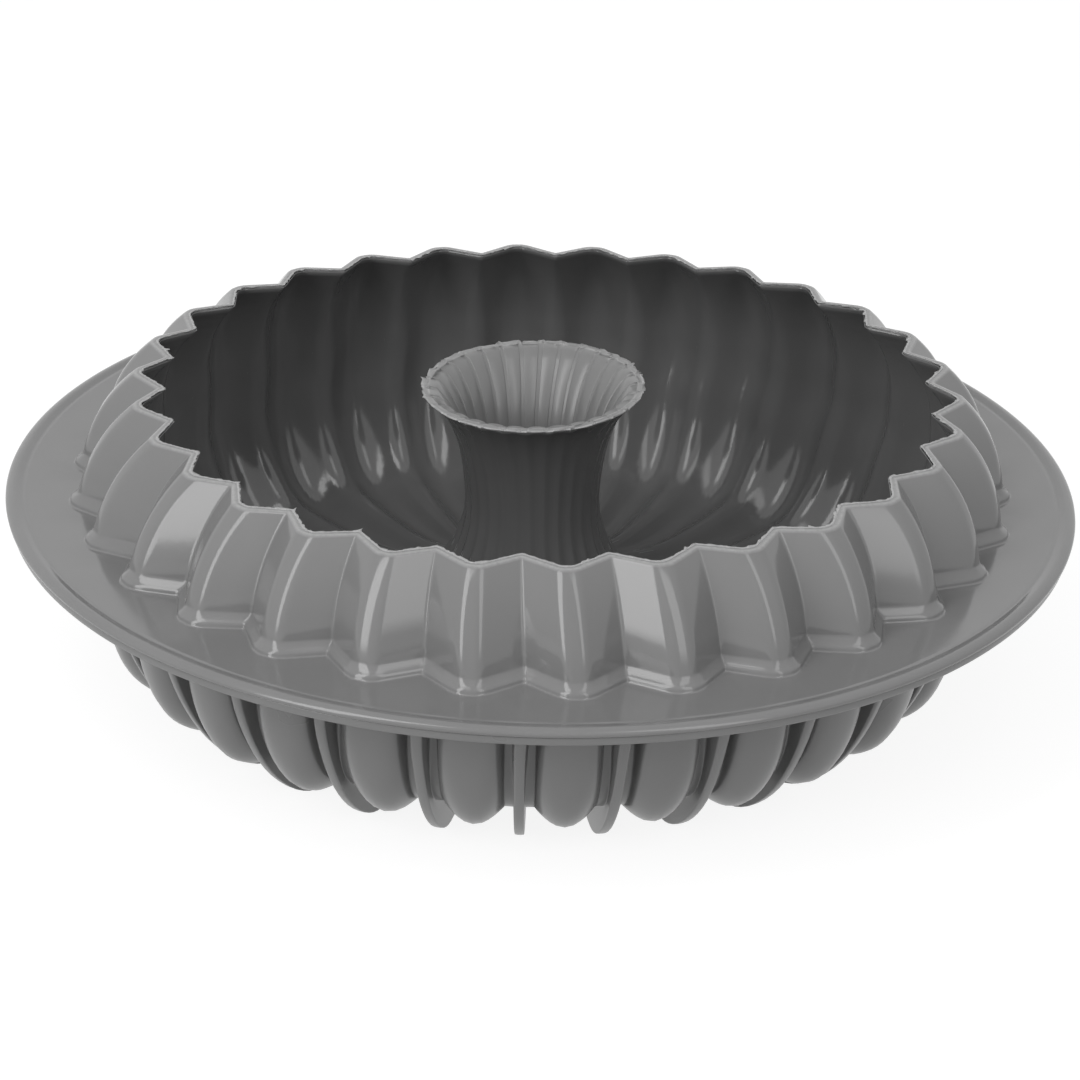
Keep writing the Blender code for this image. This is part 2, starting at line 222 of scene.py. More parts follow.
def cavity_face(sizes, stations, fullness):
    """Ridges and creases of the grey wall's cavity side at the given stations.

    Station 0 is the rim, 1 the parting height, 2 the trough's floor, 3 the tube's waist and 4
    its cut top. The four stretches are the collar's inner side, a rounded quarter, a slope
    and the tube. The quarter's angle grows with the power 1.25 of the way. The last two
    stretches are averaged with their neighbours, so that the waist is smooth. A crease is the
    ridge moved by the flute's depth along the profile's normal, and straight inward on the
    collar.
    """
    even = np.linspace(0.0, 1.0, STRETCH_POINTS)
    heights = sizes.height + (sizes.parting - sizes.height) * even
    outer_ridge, outer_crease, down = collar_face(sizes, heights)
    ridge_radius = outer_ridge - sizes.rim_wall - (sizes.foot_wall_ridge - sizes.rim_wall) * down ** 2
    crease_radius = outer_crease - sizes.rim_wall - (sizes.foot_wall_crease - sizes.rim_wall) * down ** 2
    collar = np.stack([ridge_radius, heights], axis=1)

    trough = rounded_quarter((sizes.trough_radius, sizes.parting),
                             ridge_radius[-1] - sizes.trough_radius,
                             sizes.parting - sizes.trough_height, fullness, 90.0 * even ** 1.25)
    floor = (sizes.trough_radius, sizes.trough_height)
    waist = (sizes.waist_radius, sizes.waist_height)
    slope = bezier(floor, (sizes.slope_reach, sizes.trough_height - sizes.slope_drop), waist, even)
    tube = bezier(waist, (sizes.waist_radius, sizes.height - sizes.tube_flare),
                  (sizes.tube_radius, sizes.height), even)
    inner = np.concatenate([slope, tube[1:]])
    for _ in range(SMOOTHING_ROUNDS):
        inner[1:-1] = 0.25 * inner[:-2] + 0.5 * inner[1:-1] + 0.25 * inner[2:]

    line = np.concatenate([collar, trough[1:], inner[1:]])
    inward = normals(line)
    inward[:STRETCH_POINTS] = (-1.0, 0.0)
    every = np.linspace(0.0, 4.0, len(line))
    depths = (ridge_radius[-1] - crease_radius[-1], sizes.trough_depth, sizes.tube_depth)
    depth = np.interp(every, [1.0, 2.0, 3.0], depths)
    depth[:STRETCH_POINTS] = ridge_radius - crease_radius
    sunk = line + depth[:, None] * inward
    ridge = np.stack([np.interp(stations, every, line[:, k]) for k in (0, 1)], axis=1)
    crease = np.stack([np.interp(stations, every, sunk[:, k]) for k in (0, 1)], axis=1)
    return ridge, crease


def cavity_section(stations):
    """Half widths and roundings of the cavity's flutes at the given stations."""
    return {name: np.interp(stations, SECTION_STATIONS, values) for name, values in SECTIONS.items()}


def bowl_rise(turn, floor_half, edge):
    """Rise of a smooth flute from a rib's flat top to mid-flute: sin(pi v / 2).

    v runs from 0 at the rib's edge to 1 in the middle of the flute, and is replaced by
    (v + sqrt(v^2 + edge^2)) / 2, so that the rib's edge is round.
    """
    v = (np.minimum(turn, 1.0 - turn) - floor_half) / (0.5 - floor_half)
    v = 0.5 * (v + np.sqrt(v * v + edge * edge))
    return np.sin(math.pi / 2 * np.clip(v, 0.0, 1.0))


CREASE_TURNS = (0.0, 0.5, 1.0)
RIDGE_TURNS = (0.0, 0.16, 0.33, 0.5, 0.67, 0.84, 1.0)
SUPPORT = 1.4


def facet_columns(flat_ways):
    """Where the columns of one flute lie, as rows of corner, turn before, turn after and way along.

    Corners 0 and 1 bound the crease's floor, 2 and 3 the ridge. A column weighs the corner
    before its own by (1-t)^2 and the one after by t^2, and a column on a flat lies part of the
    way from this corner's rounding to the next one's.
    """
    table = []
    for corner in range(4):
        turns = CREASE_TURNS if corner < 2 else RIDGE_TURNS
        table.append((corner, SUPPORT, 0.0, 0.0))
        table += [(corner, (1 - t) ** 2, t ** 2, 0.0) for t in turns]
        table.append((corner, 0.0, SUPPORT, 0.0))
        ways = flat_ways if corner in (1, 3) else (0.5,)
        table += [(corner, 0.0, 0.0, way) for way in ways]
    return np.array(table)


def toward(points, radius, part):
    """The scale that moves points in x and y part of the way to a radius."""
    distance = np.hypot(points[..., 0], points[..., 1])
    return (1.0 + part * (radius / distance - 1.0))[..., None]


def faceted_rings(sizes, ridge, crease, floor_half, ridge_half, crease_round, ridge_round,
                  roundness=0.0, flat_ways=(0.3, 0.5, 0.7), bowl=0.0):
    """Rings of flat faces with rounded corners, as an array of rows, columns and x, y, z.

    Ring by ring, corner K has neighbours P and N. Its rounding starts a length short of K on
    the side of P, ends as far past it on the side of N, and follows
    (1-t)^2 A + 2t(1-t) K + t^2 B between those two points A and B. Bowl 1 moves every point
    to a smooth flute between crease and ridge, and roundness 1 out to the ring's own circle.
    """
    rows = len(ridge)
    pitch = 2 * math.pi / sizes.flutes
    floor_half, ridge_half, crease_round, ridge_round, roundness, bowl = (
        np.broadcast_to(value, rows)[:, None]
        for value in (floor_half, ridge_half, crease_round, ridge_round, roundness, bowl))
    turn = np.hstack([-floor_half, floor_half, 0.5 - ridge_half, 0.5 + ridge_half])
    azimuth = -math.pi / 2 + pitch * (np.arange(sizes.flutes)[None, :, None] + turn[:, None, :])
    profile = np.stack([crease, crease, ridge, ridge], axis=1)[:, None]
    radius, level = profile[..., 0], np.broadcast_to(profile[..., 1], azimuth.shape)
    corners = np.stack([radius * np.cos(azimuth), radius * np.sin(azimuth), level], axis=-1)
    corners = corners.reshape(rows, -1, 3)
    before = np.roll(corners, 1, axis=1)
    after = np.roll(corners, -1, axis=1)

    lengths = np.tile(np.hstack([crease_round, crease_round, ridge_round, ridge_round]), sizes.flutes)
    limit = 0.98 / (2.0 * SUPPORT)
    cut_before, cut_after = (np.minimum(lengths / (np.linalg.norm(other - corners, axis=2) + 1e-9), limit)
                             for other in (before, after))

    table = facet_columns(flat_ways)
    own = (4 * np.arange(sizes.flutes)[:, None] + table[:, 0].astype(int)).reshape(-1)
    _, share_before, share_after, way = np.tile(table, (sizes.flutes, 1)).T
    weigh_before = share_before * cut_before[:, own]
    weigh_after = share_after * cut_after[:, own]
    flat_start = SUPPORT * cut_after[:, own]
    flat_end = 1.0 - SUPPORT * np.roll(cut_before, -1, axis=1)[:, own]
    weigh_after = np.where(way > 0, flat_start + (flat_end - flat_start) * way, weigh_after)
    weigh_own = 1.0 - weigh_before - weigh_after
    points = (weigh_before[..., None] * before[:, own] + weigh_own[..., None] * corners[:, own]
              + weigh_after[..., None] * after[:, own])

    turned = np.mod((np.arctan2(points[..., 1], points[..., 0]) + math.pi / 2) / pitch, 1.0)
    edge = crease_round / (crease[:, :1] * pitch * (0.5 - floor_half))
    rise = bowl_rise(turned, floor_half, edge)
    smooth = crease[:, None, :] + rise[..., None] * (ridge - crease)[:, None, :]
    points[..., 2] += bowl * (smooth[..., 1] - points[..., 2])
    points[..., :2] *= toward(points, smooth[..., 0], bowl)
    points[..., :2] *= toward(points, ridge[:, :1], roundness)
    return points


def circles(sizes, line):
    """Plain rings through the points of a profile, with the columns of the faceted rings."""
    line = np.asarray(line, float)
    return faceted_rings(sizes, line, line, 0.02, sizes.ridge_half, sizes.crease_round,
                         sizes.ridge_round, 1.0)


LOBE_COLUMNS = 17
LOBE_SQUARENESS = 0.75
FLOOR_COLUMNS = (0.66, 0.86)
FIN_SIDE = (
    (0.0, 0.0, -1e-9),
    (0.50, 0.0, -0.00002),
    (0.86, 0.0, -0.00022),
    (1.0, 0.0, -0.00065),
    (1.0, 0.00002, -0.0011),
    (1.0, 0.00004, 0.0012),
    (1.0, 0.00008, 0.0006),
    (1.0, 0.00027, 0.0002),
    (1.0, 0.0007, 0.0),
)


def lobe_columns(sizes):
    """Where the columns of one flute of the belly lie, from the middle of a fin to the next fin.

    Each row is the turn as a share of the pitch, the rise of a square and of a round lobe from
    the crease's floor as shares, the sideways place on the fin in half thicknesses, the extra
    sideways metres, and the height on the fin: metres above its root, or below its edge when
    negative. The square lobe is turn = 1/2 - w cos^q, rise = sin^q of an angle from 0 to 180
    degrees, and the round one rises by cos(pi u / 2), with u its turn from the crest over w.
    """
    fin_side = [(0.0, 0.0, 0.0, *column) for column in FIN_SIDE]
    floor_side = [(sizes.floor_share * step, 0.0, 0.0, 0.0, 0.0, 0.0) for step in FLOOR_COLUMNS]
    angle = np.linspace(0.0, math.pi, LOBE_COLUMNS)
    cosine = np.cos(angle)
    half = 0.5 - sizes.floor_share
    turn = 0.5 - half * np.sign(cosine) * np.abs(cosine) ** LOBE_SQUARENESS
    square = np.abs(np.sin(angle)) ** LOBE_SQUARENESS
    smooth = np.cos(math.pi / 2 * np.clip((turn - 0.5) / half, -1.0, 1.0))
    lobe = [(t, h, k, 0.0, 0.0, 0.0) for t, h, k in zip(turn, square, smooth)]
    first_half = fin_side + floor_side
    mirrored = [(1.0 - t, h, k, -s, -m, f) for t, h, k, s, m, f in reversed(first_half[1:])]
    return np.array(first_half + lobe + mirrored)


def lobed_rings(sizes, ridge, crease, fin, thickness, softness=0.0, roundness=0.0, section=None):
    """Rings of lobes with a fin in each crease, as an array of rows, columns and x, y, z.

    A point's radius and height lie between crease and ridge by its column's rise, which goes
    from the square to the round lobe as softness goes from 0 to 1, and on to sin(pi turn)
    with its sharp creases as softness goes to 2. On a fin they lie on the line from the
    crease's floor to the fin's edge, and the point is moved sideways by its share of the
    fin's thickness. Roundness 1 moves every point out to the ring's own circle. A section
    gives the flat floors and ridges of the cavity instead of the lobes.
    """
    rows = len(ridge)
    turn, square, smooth, sideways, extra, climb = lobe_columns(sizes).T
    pitch = 2 * math.pi / sizes.flutes
    softness = np.broadcast_to(softness, rows)[:, None]
    rise = square + np.minimum(softness, 1.0) * (smooth - square)
    rise = rise + np.maximum(softness - 1.0, 0.0) * (np.abs(np.sin(math.pi * turn)) - rise)
    if section is not None:
        floor_half, ridge_half = section["floor_half"][:, None], section["ridge_half"][:, None]
        rise = (np.minimum(turn, 1.0 - turn) - floor_half) / (0.5 - ridge_half - floor_half)
        rise = np.clip(rise, 0.0, 1.0)
        edge = section["crease_round"][:, None] / (crease[:, :1] * pitch * (0.5 - floor_half))
        rise = rise + section["bowl"][:, None] * (bowl_rise(turn, floor_half, edge) - rise)
    azimuth = -math.pi / 2 + pitch * (np.arange(sizes.flutes)[:, None] + turn).reshape(-1)

    reach = np.linalg.norm(fin - crease, axis=1)[:, None]
    near = np.minimum(np.abs(climb), 0.4 * reach)
    on_fin = np.where(climb < 0, reach - near, near) / np.maximum(reach, 1e-9)
    flat = crease[:, None, :] + rise[..., None] * (ridge - crease)[:, None, :]
    flat = flat + on_fin[..., None] * (fin - crease)[:, None, :]
    flat = np.tile(flat, (1, sizes.flutes, 1))

    half = np.broadcast_to(thickness, rows)[:, None] / 2
    room = 0.95 * FLOOR_COLUMNS[0] * sizes.floor_share * pitch * flat[..., 0]
    shrink = np.minimum(1.0, room / (half + extra.max()))
    tangential = np.tile(sideways * half + extra, sizes.flutes) * shrink
    x = flat[..., 0] * np.cos(azimuth) - tangential * np.sin(azimuth)
    y = flat[..., 0] * np.sin(azimuth) + tangential * np.cos(azimuth)
    points = np.stack([x, y, flat[..., 1]], axis=-1)
    points[..., :2] *= toward(points, ridge[:, :1], roundness)
    return points


def smooth_step(value):
    """0 below 0, 1 above 1, and 3v^2 - 2v^3 between."""
    value = np.clip(value, 0.0, 1.0)
    return value * value * (3.0 - 2.0 * value)


def grown(value, stretch):
    """The smooth step of how far a value is past a start, as a share of the way it takes."""
    start, way = stretch
    return smooth_step((value - start) / way)


# How the soft mould stands. A stretch is where a movement starts and the way over which it grows.

RIM_START = 0.004
BELLY_STRETCH = (0.003, 0.016)
OUTER_STRETCH = (0.055, 0.025)
FLARE_STRETCH = (0.055, 0.030)
EDGE_STRETCH = (0.128, 0.016)
EDGE_LIFT = (0.0004, 0.0003)
RIM_SHIFT_X = (0.00017, -0.00017, 0.0, 0.00109, 0.00069, 0.00051, -0.00090)
RIM_SHIFT_Y = (0.00036, 0.00092, -0.00067, 0.00149, 0.00027, 0.00008, 0.00039)
BELLY_SHIFT = (-0.0012, -0.0014)
BELLY_TURN = 0.005
TUBE_SHIFT = (-0.0016, -0.0014)
TUBE_LEAN = (-0.0013, 0.0040)
TUBE_STRETCH = (-0.030, 0.034)


def wave(terms, turn):
    """c0 + c1 cos t + s1 sin t + c2 cos 2t + s2 sin 2t and so on, for terms c0, c1, s1, c2, s2."""
    total = terms[0]
    for k in range(1, len(terms) // 2 + 1):
        total = total + terms[2 * k - 1] * np.cos(k * turn) + terms[2 * k] * np.sin(k * turn)
    return total


def settled(sizes, points):
    """Bend points a little, as the soft mould in the photo stands.

    The rim moves in its plane by a few slow waves of the turn, which fade down to the
    flange. The belly turns by 0.3 degrees. The tube leans, and its cut top is an ellipse:
    x grows by a x + b y and y by b x - a y. The flange's edge rises a little.
    """
    x, y, z = points[..., 0], points[..., 1], points[..., 2]
    radius = np.hypot(x, y)
    turn = np.arctan2(y, x)
    start = sizes.parting + RIM_START
    above = np.clip((z - start) / (sizes.height - start), 0.0, 1.0)
    below = grown(sizes.parting - z, BELLY_STRETCH)
    outside = grown(radius, OUTER_STRETCH)
    inside = 1.0 - outside
    up = np.clip(z / sizes.height, 0.0, 1.0)
    flare = inside * grown(z, FLARE_STRETCH)

    shift_x = outside * (wave(RIM_SHIFT_X, turn) * above + below * (BELLY_SHIFT[0] - BELLY_TURN * y))
    shift_y = outside * (wave(RIM_SHIFT_Y, turn) * above + below * (BELLY_SHIFT[1] + BELLY_TURN * x))
    shift_x = shift_x + inside * (TUBE_SHIFT[0] + TUBE_LEAN[0] * up)
    shift_y = shift_y + inside * (TUBE_SHIFT[1] + TUBE_LEAN[1] * up ** 3)
    shift_x = shift_x + flare * (TUBE_STRETCH[0] * x + TUBE_STRETCH[1] * y)
    shift_y = shift_y + flare * (TUBE_STRETCH[1] * x - TUBE_STRETCH[0] * y)
    lift = (EDGE_LIFT[0] + EDGE_LIFT[1] * np.cos(turn) ** 2) * grown(radius, EDGE_STRETCH)
    return np.stack([x + shift_x, y + shift_y, z + lift], axis=-1)


TEAR_START = 1.7
TEAR_LIMIT = 1.5


def torn(points, rows, outward, upward, seed, reach):
    """Move the points of some rows at random, evenly a little and here and there far.

    The random numbers are smoothed round the ring by a bell curve as wide as reach says, in
    columns, and a tear is what a second set has above a few times its spread.
    """
    random = np.random.default_rng(seed)
    count = points.shape[1]
    fade = np.exp(-0.5 * (2 * math.pi * reach * np.fft.rfftfreq(count)) ** 2)
    little, much = (np.fft.irfft(np.fft.rfft(random.standard_normal((len(rows), count))) * fade, count)
                    for _ in range(2))
    little /= little.std()
    tear = np.clip(much / much.std() - TEAR_START, 0.0, TEAR_LIMIT)
    radial = outward * (0.4 * little + np.sign(little) * tear)
    radius = np.hypot(points[rows, :, 0], points[rows, :, 1])
    points[rows, :, :2] *= (1 + radial / radius)[..., None]
    points[rows, :, 2] += upward * (0.3 * np.clip(little, -1, 1) + tear / TEAR_LIMIT)
    return points


def added(name, data):
    """A new object in the scene."""
    item = bpy.data.objects.new(name, data)
    bpy.context.scene.collection.objects.link(item)
    return item


def skin(sizes, name, points, cut_and_edge_highlight=None):
    """A closed mesh from rings of points, each ring joined to the next and the last to the first."""
    points = settled(sizes, points)
    rows, columns = points.shape[:2]
    index = np.arange(rows * columns).reshape(rows, columns)
    right = np.roll(index, -1, axis=1)
    faces = np.stack([index, right, np.roll(right, -1, axis=0), np.roll(index, -1, axis=0)], axis=-1)
    faces = faces.reshape(-1, 4)
    flat = points.reshape(-1, 3)
    a, b, c, d = (flat[faces[:, k]] for k in range(4))
    if np.sum(a * (np.cross(b, c) + np.cross(c, d))) < 0:
        faces = faces[:, ::-1]
    mesh = bpy.data.meshes.new(name)
    mesh.from_pydata(flat.tolist(), [], faces.tolist())
    mesh.shade_smooth()
    # Each ring's share of the pale cut colour goes on its points. On the cut faces' edges it is a painted
    # highlight.
    if cut_and_edge_highlight is not None:
        attribute = mesh.attributes.new("cut_and_edge_highlight", "FLOAT", "POINT")
        attribute.data.foreach_set("value", np.repeat(cut_and_edge_highlight, columns).astype(np.float32))
    mesh.validate()
    return added(name, mesh)


def place(piece, material, slot, *nodes):
    """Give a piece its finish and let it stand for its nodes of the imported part."""
    piece.data.materials.append(material)
    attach(piece, "root")
    if nodes:
        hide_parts(*nodes)
    return piece


# Finishes

def new_finish(name):
    """A new material with its node tree and its shader."""
    material = bpy.data.materials.new(name)
    material.use_nodes = True
    return material, material.node_tree, material.node_tree.nodes["Principled BSDF"]


def noise(tree, scale, detail):
    """A noise on Object coordinates, scale in waves per metre."""
    coordinates = tree.nodes.new("ShaderNodeTexCoord")
    texture = tree.nodes.new("ShaderNodeTexNoise")
    texture.inputs["Scale"].default_value = scale
    texture.inputs["Detail"].default_value = detail
    texture.inputs["Roughness"].default_value = 0.55
    tree.links.new(coordinates.outputs["Object"], texture.inputs["Vector"])
    return texture.outputs["Fac"]


NOISE_LOW, NOISE_HIGH = 0.3, 0.7


def mapped(tree, source, low, high):
    """Carry a noise's usual range to the range from low to high."""
    spread = tree.nodes.new("ShaderNodeMapRange")
    spread.inputs["From Min"].default_value = NOISE_LOW
    spread.inputs["From Max"].default_value = NOISE_HIGH
    spread.inputs["To Min"].default_value = low
    spread.inputs["To Max"].default_value = high
    tree.links.new(source, spread.inputs["Value"])
    return spread.outputs["Result"]


def bumps(tree, shader, layers):
    """Stack bump nodes, each with its height source, strength and depth in metres."""
    normal = None
    for source, strength, depth in layers:
        bump = tree.nodes.new("ShaderNodeBump")
        bump.inputs["Strength"].default_value = strength
        bump.inputs["Distance"].default_value = depth
        tree.links.new(source, bump.inputs["Height"])
        if normal is not None:
            tree.links.new(normal, bump.inputs["Normal"])
        normal = bump.outputs["Normal"]
    tree.links.new(normal, shader.inputs["Normal"])


def tinted(tree, source, base, spread):
    """A colour that a noise makes a little darker and lighter than its base."""
    ramp = tree.nodes.new("ShaderNodeValToRGB")
    dark, pale = ramp.color_ramp.elements
    dark.position, pale.position = NOISE_LOW, NOISE_HIGH
    dark.color = (*[c * (1 - spread) for c in base], 1.0)
    pale.color = (*[c * (1 + spread) for c in base], 1.0)
    tree.links.new(source, ramp.inputs["Fac"])
    return ramp.outputs["Color"]


def grey_silicone(colours, name, gloss):
    """Moulded grey silicone: faint clouds, a fine grain, soft waves and pale cut edges, where the pale cut
    colour is strongest along the edges of the cut faces as a painted highlight.
    """
    material, tree, shader = new_finish(name)
    links = tree.links
    clouds = noise(tree, 35.0, 3.0)
    grain = noise(tree, 2600.0, 2.0)
    waves = noise(tree, 60.0, 1.0)
    rough = noise(tree, 900.0, 3.0)

    # The attribute mixes in the pale cut colour. It is the trimmed silicone's own tone, and along the edges
    # of the cut faces it is a painted highlight.
    cut = tree.nodes.new("ShaderNodeAttribute")
    cut.attribute_name = "cut_and_edge_highlight"
    mix = tree.nodes.new("ShaderNodeMix")
    mix.data_type = "RGBA"
    links.new(cut.outputs["Fac"], mix.inputs["Factor"])
    links.new(tinted(tree, clouds, colours.grey, 0.03), mix.inputs["A"])
    links.new(tinted(tree, rough, colours.cut, 0.12), mix.inputs["B"])
    links.new(mix.outputs["Result"], shader.inputs["Base Color"])

    links.new(mapped(tree, clouds, gloss - 0.03, gloss + 0.03), shader.inputs["Roughness"])
    shader.inputs["IOR"].default_value = 1.58
    bumps(tree, shader, [(waves, 0.10, 0.0004), (grain, 0.06, 0.00005)])
    return material


def dark_silicone(colours):
    """Dark silicone of the cavity: glossy, with uneven waves that break its highlights."""
    material, tree, shader = new_finish("dark_silicone_finish")
    clouds = noise(tree, 30.0, 3.0)
    waves = noise(tree, 140.0, 2.0)
    tree.links.new(tinted(tree, clouds, colours.dark, 0.05), shader.inputs["Base Color"])
    tree.links.new(mapped(tree, clouds, 0.11, 0.17), shader.inputs["Roughness"])
    shader.inputs["IOR"].default_value = 1.52
    bumps(tree, shader, [(waves, 0.18, 0.0003)])
    return material


def steel_finish():
    """Drawn steel wire with fine lines round its section."""
    material, tree, shader = new_finish("drawn_steel_finish")
    lines = noise(tree, 1500.0, 2.0)
    tree.links.new(tinted(tree, lines, (0.55, 0.55, 0.56), 0.08), shader.inputs["Base Color"])
    tree.links.new(mapped(tree, lines, 0.25, 0.38), shader.inputs["Roughness"])
    shader.inputs["Metallic"].default_value = 1.0
    return material


# Pieces

def wire_groove(sizes, side):
    """Half of the ring-shaped groove round the wire, above the parting plane if side is 1."""
    centre = sizes.flange_radius - sizes.wire_inset
    reach = sizes.wire_diameter / 2 + sizes.gap
    level = sizes.parting + side * sizes.gap / 2
    deep = sizes.parting + side * (reach - sizes.gap / 2)
    return [(centre + reach, level), (centre + 0.6 * reach, deep), (centre - 0.6 * reach, deep),
            (centre - reach, level)]


def facets(sizes, ridges, creases, heights, **changes):
    """Rings of the collar's outer section through ridges and creases at the given heights."""
    section = {"floor_half": 0.010, "ridge_half": sizes.ridge_half,
               "crease_round": sizes.crease_round, "ridge_round": sizes.ridge_round, **changes}
    return faceted_rings(sizes, np.stack([ridges, heights], 1), np.stack([creases, heights], 1), **section)


def cavity_rings(sizes, stations, shift):
    """Rings of the cavity's flutes at the given stations, moved off the grey wall by a distance."""
    ridge, crease = cavity_face(sizes, stations, sizes.lining_fullness)
    return faceted_rings(sizes, offset(ridge, shift), offset(crease, shift), **cavity_section(stations))


def collar_rings(sizes):
    """All rings of the upper grey half, once round its section, and how much pale cut colour each takes: the
    cut rim, and most on the rim's edges as a painted highlight.
    """
    flange_top = sizes.parting + sizes.gap / 2 + sizes.upper_sheet
    rim = sizes.height
    start, width, tall = sizes.skirt_top, sizes.skirt_width, sizes.skirt_edge

    # The fluted face, from the rim down
    heights = np.concatenate([[rim - 0.0001, rim - 0.0006],
                              np.linspace(rim - 0.0013, flange_top + start + 0.0004, 26)])
    ridges, creases, _ = collar_face(sizes, heights)
    face = facets(sizes, ridges, creases, heights)

    # The flare at its foot
    bend = 0.66 * width
    steps = np.concatenate([
        bezier((0.0, start), (0.07 * width, 0.55 * start + 0.45 * tall), (bend, tall),
               np.linspace(0, 1, 9)),
        bezier((bend, tall), (0.93 * width, 0.80 * tall), (0.98 * width, 0.55 * tall),
               np.linspace(0, 1, 6)[1:]),
        bezier((width, 0.28 * tall), (1.02 * width, 0.0), (width + 0.0007, 0.0), np.linspace(0, 1, 5)),
    ])
    level = flange_top + steps[:, 1]
    ridges, creases, _ = collar_face(sizes, level)
    ring = 2 * math.pi / sizes.flutes * sizes.foot_radius
    slant = math.atan2(sizes.foot_depth, (0.5 - sizes.ridge_half) * ring)
    pad = facets(sizes, ridges + steps[:, 0], creases + steps[:, 0] / math.cos(slant), level,
                 ridge_half=sizes.ridge_half + steps[:, 0] * math.tan(slant / 2) / ring,
                 crease_round=sizes.crease_round + 0.15 * steps[:, 0],
                 ridge_round=sizes.ridge_round + steps[:, 0])

    # The flange's rounded edge and the groove of the wire
    edge, low = sizes.flange_radius, sizes.parting + sizes.gap / 2
    inner = edge - sizes.bead_width
    up = np.linspace(0.0, 1.0, 6)[1:]
    over = np.radians(np.linspace(90.0, 0.0, 10))[1:]
    top = flange_top + sizes.bead_rise
    bead = [(inner - 0.0012, flange_top), (inner - 0.0004, flange_top), (inner, flange_top - 0.00012)]
    bead += [(inner + 0.5 * sizes.bead_width * u, flange_top + sizes.bead_rise * smooth_step(u)) for u in up]
    crown = inner + 0.5 * sizes.bead_width
    fall = top - (low + 0.0007)
    bead += [(crown + (edge - crown) * math.cos(a), top - fall + fall * math.sin(a)) for a in over]
    brink = sizes.parting + sizes.seam / 2
    bead += [(edge - 0.00008, brink + 0.0003), (edge - 0.0003, brink + 0.00005), (edge - 0.0006, brink),
             (edge - 0.0014, brink), (edge - 0.0017, low)]
    bead += wire_groove(sizes, 1)

    # The inner side, up to the cut face of the rim
    backing = cavity_rings(sizes, np.linspace(1.0, 0.0, 9), 0.0)
    backing[0, :, 2] = low
    backing[-1, :, 2] = rim - 0.0002

    ridges, creases, _ = collar_face(sizes, np.full(3, rim))
    inset = np.array([sizes.rim_wall - 0.0002, sizes.rim_wall / 2, 0.0002])
    inner_section = cavity_section(np.zeros(3))
    blend = np.array([1.0, 0.5, 0.0])
    section = {name: getattr(sizes, name) + blend * (inner_section[name] - getattr(sizes, name))
               for name in ("ridge_half", "crease_round", "ridge_round")}
    cut = facets(sizes, ridges - inset, creases - inset, np.full(3, rim), **section)
    rings = np.concatenate([face, pad, circles(sizes, bead), backing, cut])
    # Pale cut colour on the cut face of the rim, with more on the rows at its edges as a painted highlight
    # on them.
    cut_share_and_edge_highlight = np.zeros(len(rings))
    cut_share_and_edge_highlight[-4:] = (0.8, 0.8, 0.35, 0.8)
    cut_share_and_edge_highlight[0] = 0.6
    return rings, cut_share_and_edge_highlight


def burr_rings(sizes):
    """Rings of the thin burr that the knife left along the inner edge of the cut rim.

    Its four corners lie on the cut face and over the lining, and the two over the lining are
    torn inwards.
    """
    ways = tuple(np.linspace(0.03, 0.97, 26))
    insets = np.array([sizes.rim_wall - 0.0006, sizes.rim_wall + 0.00005, sizes.rim_wall + 0.00005,
                       sizes.rim_wall - 0.0006])
    level = sizes.height + np.array([0.00002, 0.0, 0.00012, 0.00006])
    ridges, creases, _ = collar_face(sizes, np.full(4, sizes.height))
    rings = facets(sizes, ridges - insets, creases - insets, level, floor_half=0.012, ridge_half=0.065,
                   crease_round=0.0010, ridge_round=0.0016, flat_ways=ways)
    shape = torn(rings[1:2].copy(), np.array([0]), 0.00090, 0.00026, 5, 1.8)[0] - rings[1]
    outward = np.einsum("ij,ij->i", shape[:, :2], rings[1, :, :2]) > 0
    shape[outward, :2] *= -0.6
    rings[1:3] += shape
    return rings


